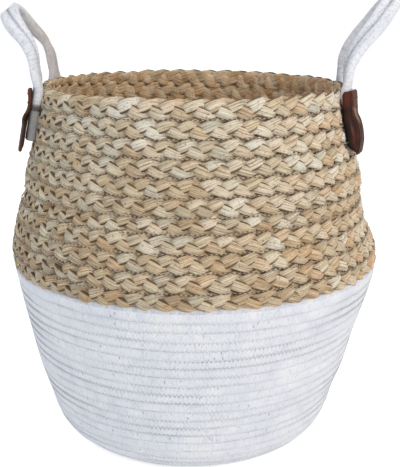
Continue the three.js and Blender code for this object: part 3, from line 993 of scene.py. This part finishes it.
def leg_frame(handle, back):
    """Origin on the wall at the tab's top, and the directions across, up and out of the wall."""
    sign = handle["sign"]
    direction = (back * LEG_ANGLE if sign > 0 else math.pi - back * LEG_ANGLE) + handle["turn"]
    top_face = wall_face(TAB_TOP, direction)
    slope = math.atan2(wall_face(TAB_TOP - TAB_HEIGHT, direction) - top_face, TAB_HEIGHT)
    out = np.array([math.cos(direction), math.sin(direction), 0])
    across = np.array([-out[1], out[0], 0]) * sign * back
    up = UP * math.cos(slope) - out * math.sin(slope)
    lift = UP * math.sin(slope) + out * math.cos(slope)
    return out * top_face + UP * TAB_TOP, across, up, lift


def lean_place(handle, length):
    """How far out and up a strand is after a length over the hinge, and its lean."""
    foot, bend = handle["foot"], handle["bend"]
    bend_radius = bend / handle["lean"]
    angle = np.clip(length - foot, 0, bend) / bend_radius
    straight = np.maximum(0, length - foot - bend)
    rise = np.minimum(length, foot) + bend_radius * np.sin(angle) + straight * np.cos(angle)
    return bend_radius * (1 - np.cos(angle)) + straight * np.sin(angle), rise, angle


def handle_arch(handle, offset):
    """Middle line of one strand over the arch, and the side that it faces."""
    sign, rise, turn, power = handle["sign"], handle["rise"], handle["turn"], 2 / handle["power"]
    around = (np.linspace(0, 1, ARCH_STEPS + 1) - 0.5) * math.pi
    across = LEG_HALF_SPAN * np.sign(around) * np.abs(np.sin(around)) ** power
    length = rise * np.abs(np.cos(around)) ** power
    out, up, angle = lean_place(handle, length)
    bowed = reached(length, handle["bow_start"], rise - handle["bow_start"])
    out = out + handle["bow"] * np.sin(math.pi * bowed) ** handle["bow_power"]
    share = reached(length, handle["twist_start"], rise - handle["twist_start"])
    twist = MOST_TWIST * (1 - (1 - share) ** handle["twist_ease"])
    outward = np.stack([sign * np.cos(angle), 0 * angle, -np.sin(angle)], -1)
    beside = np.sin(twist)[:, None] * outward
    beside[:, 1] += np.sign(around) * np.cos(twist)
    drawn = across + handle["draw"] * (length / rise) ** 2
    middle = np.stack([sign * (HINGE_RADIUS + out), drawn, HINGE_HEIGHT + up], -1)
    ahead = unit(np.gradient(middle, axis=0))
    ahead[0], ahead[-1] = UP, -UP
    beside = unit(beside - ahead * (beside * ahead).sum(1)[:, None])
    facing = unit(np.cross(ahead, beside))
    facing = facing * np.sign((facing[0] * outward[0]).sum())
    return turned(middle + beside * offset, turn), turned(facing, turn)


def handle_foot(handle, back, offset):
    """Points of one strand under a tab, from the lower end up, and their side."""
    origin, across, up, lift = leg_frame(handle, back)
    top = origin + across * offset + lift * ROPE_LIFT
    drop = up * (STRAND_END_SET_IN - TAB_HEIGHT)
    return np.array([top + drop * share for share in FOOT_SHARES]), np.tile(lift, (len(FOOT_SHARES), 1))


def handle_path(handle, offset):
    """Even points of one strand from the front tab to the back one, and the side that they face."""
    front, front_facing = handle_foot(handle, -1, offset)
    arch, arch_facing = handle_arch(handle, offset)
    back, back_facing = handle_foot(handle, 1, offset)
    points = np.concatenate([front, arch, back[::-1]])
    fine = cubic_curve(points, np.gradient(points, axis=0), per_span=30)
    length = walked_length(fine)
    path = picked(fine, np.linspace(0, length[-1], int(length[-1] / PATH_STEP)), length)
    nearest = np.argmin(((path[:, None] - points[None]) ** 2).sum(-1), 1)
    facing = np.concatenate([front_facing, arch_facing, back_facing])[nearest]
    for _ in range(FACING_ROUNDS):
        facing[1:-1] = unit(facing[:-2] + facing[1:-1] + facing[2:])
    return path, facing


def build_handle_strand(side, handle, strand):
    rng = np.random.default_rng(handle["seed"])
    offset = STRANDS[strand] * STRAND_OFFSET
    path, facing = handle_path(handle, offset)
    ahead = unit(np.gradient(path, axis=0))
    sideways = unit(np.cross(facing, ahead))
    outward = np.cross(ahead, sideways)
    length = walked_length(path)
    share = length / length[-1]
    to_other = picked(handle_path(handle, -offset)[0], share) - path
    wide, thick = rounded(STRAND_SIDES, STRAND_SQUARENESS, STRAND_RADIUS * 1.06, STRAND_RADIUS * 0.97)
    inward = np.sign((to_other * sideways).sum(-1))[:, None]
    wide = wide * np.where(wide * inward > 0, GROOVE_WIDENING, 1.0)
    swell = 1 + drift(rng, length, *STRAND_SWELL)[:, None]
    rings = ring_points(path, sideways, outward, wide * swell, thick * swell)
    beside = ((rings - path[:, None]) * unit(to_other)[:, None]).sum(-1) / STRAND_RADIUS
    from_end = np.minimum(length, length[-1] - length)[:, None]
    # marks for painted shade on the far leg, in the groove and under the tabs, and for a dark brown band
    marks = {
        "far_leg_shade": reached(share, 0.52, 0.12)[:, None] * handle["far_leg_shade"],
        "groove": reached(beside, 0.45, 0.4),
        "under_tab_shade": reached(from_end, UNDER_TAB_SHADE_LENGTH, -3),
        "dark_band": reached(np.abs(from_end - DARK_BAND_PLACE), DARK_BAND_HALF, -1.2),
    }
    tube = (rings, length, TURN * STRAND_RADIUS, marks)
    name = f"{side}_handle_{strand}_rope"
    piece = tube_piece(name, [tube], COTTON, soft=False, handle=f"{side}_handle")
    ends = [f"{side}_{end}_{strand}_strand_end" for end in ENDS]
    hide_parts(f"{side}_handle_{strand}_strand", *ends)


def build_strap_thread(side, handle):
    """Zigzag stitches over the groove between the strands of a handle, on both faces."""
    outer, facing = handle_path(handle, STRAND_OFFSET)
    inner, _ = handle_path(handle, -STRAND_OFFSET)
    count = 2 * int(walked_length(outer)[-1] / (2 * STRAP_STITCH))
    at = np.linspace(0.06, 0.94, count)
    outer, inner, out = (picked(line, at) for line in (outer, inner, facing))
    share = 0.5 + zigzag(count, STRAP_STITCH_REACH)[:, None]
    tubes = []
    for face in (1, -1):
        points = outer * share + inner * (1 - share) + unit(out) * face * STRAP_STITCH_OUT
        tubes.append(thread_tube(points, unit(out) * face, *STRAP_THREAD))
    name = f"{side}_handle_stitching"
    tube_piece(name, tubes, WHITE_THREAD, soft=False, handle=f"{side}_handle")


for side_name, handle_values in HANDLES.items():
    for strand_name in STRANDS:
        build_handle_strand(side_name, handle_values, strand_name)
    build_strap_thread(side_name, handle_values)

# Leather tabs

TAB_ACROSS = 30
TAB_UP = 56
TAB_CROWN = ROPE_LIFT + STRAND_RADIUS + FACE_GAP + 0.4
TAB_FLAT_HALF = 7.6
TAB_HOLLOW = 0.8
TAB_RIDGE_PITCH = 7.5
LIFT_EASE = 17
EDGE_ROUNDING = 1.4
STITCH_ROWS = (0.78, 0.92)
STITCH_PITCH = 3.0
STITCH_ARCH = np.array([-0.4, 0.1, 0.2, 0.1, -0.4])

# Each side's tabs: the lift of their middle line from the lower end up, their turn about it, how far the
# edges curl to the wall and the outer one flares, where the painted shadow along the edge starts, how strong
# the painted glare is (which also narrows the outer edge towards the foot), how much of its tan lies evenly
# over the whole tab, and the share of their height that they are moved up
TAB_FORMS = {
    "left": dict(
        lift=[(0, 1.6), (0.35, 1.7), (0.5, 1.5), (0.64, 0.1), (0.72, -0.6), (0.85, 0.1), (1, 2.0)],
        turn=math.radians(7.4), curl=(0.3, 0.8), flare=2.6, edge_shadow=13.2, glare=0.0, shift=0.0, even_tan=0.14,
    ),
    "right": dict(
        lift=[(0, -3.6), (0.12, -1.2), (0.25, 1), (0.42, 1.5), (0.56, 0.8), (0.67, -1.1), (0.8, -0.4),
              (1, 0.8)],
        turn=0.0, curl=(8.0, 2.6), flare=0.0, edge_shadow=12.0, glare=1.0, shift=0.045, even_tan=0.0,
    ),
}


def tab_lift(form, across, share):
    """Lift of a tab's inner face above the wall."""
    shares, lifts = np.array(form["lift"]).T
    fine = np.linspace(0, 1, 200)
    eased = smoothed(np.interp(fine, shares, lifts), np.ones(LIFT_EASE))
    half = TAB_WIDTH / 2
    beyond = reached(np.abs(across), TAB_FLAT_HALF, half - TAB_FLAT_HALF)
    curl = np.where(across > 0, *form["curl"]) * (1 - 0.3 * reached(share, 0.7, 0.15)) * beyond**1.4
    kink = np.exp(-(((share - 0.55) / 0.09) ** 2))
    flare = form["flare"] * kink * np.clip(across / half, 0, 1) ** 1.5
    ridges = 0.35 * np.cos(TURN * across / TAB_RIDGE_PITCH) * reached(share, 0.7, -0.1)
    lift = TAB_CROWN + np.interp(share, fine, eased) - TAB_HOLLOW * (across / half) ** 2 - curl
    return lift + flare + ridges + across * math.tan(form["turn"])


def tab_surface(leg, across, up, lift):
    """Points on a tab, by the way across it, up it and out of the wall."""
    origin, side, rise, out = leg
    return origin + side * across[..., None] + rise * (up - TAB_HEIGHT)[..., None] + out * lift[..., None]


def tab_faces():
    """Quads of a tab's front, back and edge, over two grids of points."""
    count = TAB_ACROSS * TAB_UP
    grid = np.arange(count).reshape(TAB_ACROSS, TAB_UP)
    quads = np.stack([grid[:-1, :-1], grid[1:, :-1], grid[1:, 1:], grid[:-1, 1:]], -1).reshape(-1, 4)
    edge = np.concatenate([grid[:, 0], grid[-1, 1:], grid[-2::-1, -1], grid[0, -2:0:-1]])
    following = np.roll(edge, -1)
    walls = np.stack([following, edge, edge + count, following + count], -1)
    return np.concatenate([quads, quads[:, ::-1] + count, walls])


def tab_marks(form, across, narrow, share):
    """The cap over the stitches, the painted shadow along the edge and the painted glare of a tab."""
    cap = reached(share, 0.78, 0.03)
    # painted shadow along the edge beyond a set distance across
    edge_shadow = reached(across / narrow, form["edge_shadow"], 1.0) * reached(share, 0.84, -0.06)
    # painted glare on a facet below the cap
    facet = 9.7 - 6.2 * reached(share, 0.78, -0.23)
    glare = form["glare"] * (1 - cap) * reached(across, facet, -1.5) * reached(across, -0.5, 2.5)
    # an even share of the same tan over the whole tab
    glare = np.maximum(glare * reached(share, 0.5, 0.06), form["even_tan"])
    return {"cap": cap, "edge_shadow": edge_shadow, "glare": glare}


def build_tab(name, leg, form):
    u = np.linspace(-1, 1, TAB_ACROSS)
    w = np.linspace(form["shift"], 1 + form["shift"], TAB_UP)
    across, up = np.meshgrid(u * TAB_WIDTH / 2, w * TAB_HEIGHT, indexing="ij")
    share = up / TAB_HEIGHT
    foot = np.sqrt(1 - 0.6 * reached(share - form["shift"], 0.16, -0.16) ** 2)
    head = np.sqrt(1 - 0.2 * reached(share - form["shift"], 0.95, 0.05) ** 2)
    waist = 1 - 0.07 * np.exp(-(((share - 0.7) / 0.06) ** 2))
    # the glare's strength also narrows the outer edge towards the foot
    narrow = 1 - form["glare"] * 0.45 * reached(share, 0.26, -0.26) ** 1.2 * (across > 0)
    across = across * foot * head * waist * narrow
    inner = tab_lift(form, across, share)
    to_side = (1 - np.abs(u))[:, None] * TAB_WIDTH / 2
    from_edge = np.minimum(to_side, np.minimum(up - up.min(), up.max() - up))
    thickness = LEATHER_THICKNESS * (0.6 + 0.4 * np.sqrt(reached(from_edge, 0, EDGE_ROUNDING)))
    layers = [tab_surface(leg, across, up, lift).reshape(-1, 3) for lift in (inner + thickness, inner)]
    faces = tab_faces()
    if np.linalg.det(np.array(leg[1:])) < 0:
        faces = faces[:, ::-1]
    uvs = np.tile(np.stack([up.ravel(), across.ravel() + TAB_WIDTH], -1) * MM, (2, 1))[faces.ravel()]
    marks = {key: np.tile(data.ravel(), 2) for key, data in tab_marks(form, across, narrow, share).items()}
    mesh = build_mesh(f"{name}_leather", np.concatenate(layers), [faces], uvs, marks)
    piece = link(f"{name}_leather", mesh)
    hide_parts(f"{name}_leather_tab")
    dress(piece, LEATHER)


def build_tab_stitches(name, leg, form):
    """Two short rows of stitches across the tab's upper part."""
    tubes = []
    for share in STITCH_ROWS:
        for middle in np.arange(-3, 4) * STITCH_PITCH:
            across = np.linspace(middle - 1, middle + 1, len(STITCH_ARCH))
            level = np.full(len(across), share)
            lift = tab_lift(form, across, level) + LEATHER_THICKNESS + STITCH_ARCH
            points = tab_surface(leg, across, level * TAB_HEIGHT, lift)
            tubes.append(thread_tube(points, leg[3], *TAB_THREAD, sides=5))
    tube_piece(f"{name}_tab_stitching", tubes, BROWN_THREAD, soft=False)


for side_name, tab_form in TAB_FORMS.items():
    for end_name, end_sign in ENDS.items():
        tab_values = (f"{side_name}_{end_name}", leg_frame(HANDLES[side_name], end_sign), tab_form)
        build_tab(*tab_values)
        build_tab_stitches(*tab_values)

# Floor and light

FLOOR_HALF = 6000.0
FLOOR_LEVEL = -0.3
FLOOR_GLOW = 0.6
SKY_STRENGTH = 0.63
SKY_TINT = (0.94, 0.97, 1.02)
WHITE = (1, 1, 1, 1)
LAMP_AIM = (0, 0, 0.15)

# Name, place and width in metres, power in watts and colour of each lamp
LAMPS = [
    ("key", (1.1, -1.4, 2.0), 1.2, 29, (1.0, 0.952, 0.88)),
    ("fill", (-1.7, -1.1, 0.8), 1.6, 4, (0.68, 0.85, 1.0)),
]


def build_floor():
    """A wide pale floor that the camera sees a little brighter than it is lit."""
    corners = [(x * FLOOR_HALF, y * FLOOR_HALF, FLOOR_LEVEL) for x, y in ((-1, -1), (1, -1), (1, 1), (-1, 1))]
    floor = link("floor", build_mesh("floor", corners, [np.array([[0, 1, 2, 3]])]))
    look = Look("pale_floor")
    look.put(look.shader.inputs["Base Color"], (0.95, 0.95, 0.95, 1))
    look.put(look.shader.inputs["Roughness"], 0.9)
    path = look.node("LightPath").outputs
    seen = look.math("MAXIMUM", path["Is Camera Ray"], path["Is Glossy Ray"])
    glow = look.node("Emission", {"Color": WHITE, "Strength": look.times(seen, FLOOR_GLOW)})
    both = look.node("AddShader", {0: look.shader.outputs[0], 1: glow.outputs[0]})
    look.put(look.first("OUTPUT_MATERIAL").inputs["Surface"], both.outputs[0])
    floor.data.materials.append(look.material)


def build_world():
    """Soft bluish light from all round, and plain white to the camera and in gloss."""
    world = bpy.data.worlds.new("studio")
    bpy.context.scene.world = world
    world.use_nodes = True
    nodes = Nodes(world.node_tree)
    path = nodes.node("LightPath").outputs
    seen = path["Is Camera Ray"]
    for other in ("Is Glossy Ray", "Is Transmission Ray"):
        seen = nodes.math("MAXIMUM", seen, path[other])
    sky = tuple(SKY_STRENGTH * tint for tint in SKY_TINT) + (1,)
    nodes.put(nodes.first("BACKGROUND").inputs["Color"], nodes.mix(seen, sky, WHITE))


def build_lamp(name, place, size, power, colour):
    data = bpy.data.lights.new(name, "AREA")
    data.shape = "SQUARE"
    data.size = size
    data.energy = power
    data.color = colour
    lamp = link(name, data)
    lamp.location = place
    lamp.rotation_mode = "QUATERNION"
    lamp.rotation_quaternion = (Vector(LAMP_AIM) - Vector(place)).to_track_quat("-Z", "Y")


build_floor()
build_world()
for lamp_values in LAMPS:
    build_lamp(*lamp_values)
bpy.context.scene.view_settings.view_transform = "Standard"
